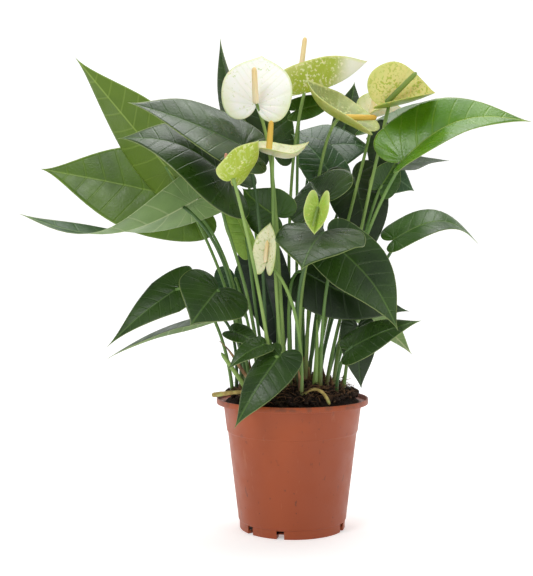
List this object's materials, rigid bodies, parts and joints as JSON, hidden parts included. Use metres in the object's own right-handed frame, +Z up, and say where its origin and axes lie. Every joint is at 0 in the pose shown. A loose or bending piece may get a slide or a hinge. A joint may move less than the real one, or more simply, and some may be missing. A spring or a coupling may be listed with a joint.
{
  "type": "potted plant",
  "caption": "Flowering house plant in a thin plastic nursery pot: heart-shaped leaves and cupped spathes with spadices on long stalks.",
  "frame": {"origin": "on the pot's axis, in the plane that the pot stands on", "axes": "+Z up along the pot's axis; the front of the plant faces -Y, +X to the right seen from the front"},
  "size_m": [0.5561, 0.2764, 0.563],
  "materials": {
    "pot_plastic": "terracotta-coloured polypropylene, soft sheen",
    "leaf_blade": "leathery glossy dark green leaf with lighter veins and a yellow-green margin",
    "spathe": "waxy bract, white to lime green",
    "spadix": "finely bumpy, cream, ochre or green",
    "aerial_root": "dry, yellowish, slightly fibrous",
    "green_stem": "smooth pale green stem",
    "peat": "coarse dark brown peat with fibres"
  },
  "bodies": {
    "root": {"pot": "pot_plastic", "leaf_01": "leaf_blade", "leaf_02": "leaf_blade", "leaf_03": "leaf_blade", "leaf_04": "leaf_blade", "leaf_05": "leaf_blade", "leaf_06": "leaf_blade", "leaf_07": "leaf_blade", "leaf_08": "leaf_blade", "leaf_09": "leaf_blade", "leaf_10": "leaf_blade", "leaf_11": "leaf_blade", "leaf_12": "leaf_blade", "leaf_13": "leaf_blade", "leaf_14": "leaf_blade", "leaf_15": "leaf_blade", "leaf_16": "leaf_blade", "leaf_17": "leaf_blade", "leaf_18": "leaf_blade", "leaf_19": "leaf_blade", "leaf_20": "leaf_blade", "leaf_21": "leaf_blade", "leaf_22": "leaf_blade", "leaf_23": "leaf_blade", "leaf_24": "leaf_blade", "leaf_25": "leaf_blade", "leaf_26": "leaf_blade", "leaf_27": "leaf_blade", "leaf_28": "leaf_blade", "leaf_29": "leaf_blade", "leaf_30": "leaf_blade", "leaf_31": "leaf_blade", "leaf_32": "leaf_blade", "leaf_33": "leaf_blade", "leaf_34": "leaf_blade", "leaf_35": "leaf_blade", "leaf_36": "leaf_blade", "flower_1": "spathe", "flower_2": "spathe", "flower_3": "spathe", "flower_4": "spathe", "flower_5": "spathe", "flower_6": "spathe", "flower_7": "spathe", "flower_8": "spathe", "flower_9": "spathe", "flower_1_spadix": "spadix", "flower_2_spadix": "spadix", "flower_3_spadix": "spadix", "flower_4_spadix": "spadix", "flower_5_spadix": "spadix", "flower_6_spadix": "spadix", "flower_7_spadix": "spadix", "flower_8_spadix": "spadix", "flower_9_spadix": "spadix", "root_left": "aerial_root", "root_front": "aerial_root", "sheath_green": "green_stem", "stub_cut": "green_stem", "peat": "peat"}
  },
  "joints": []
}
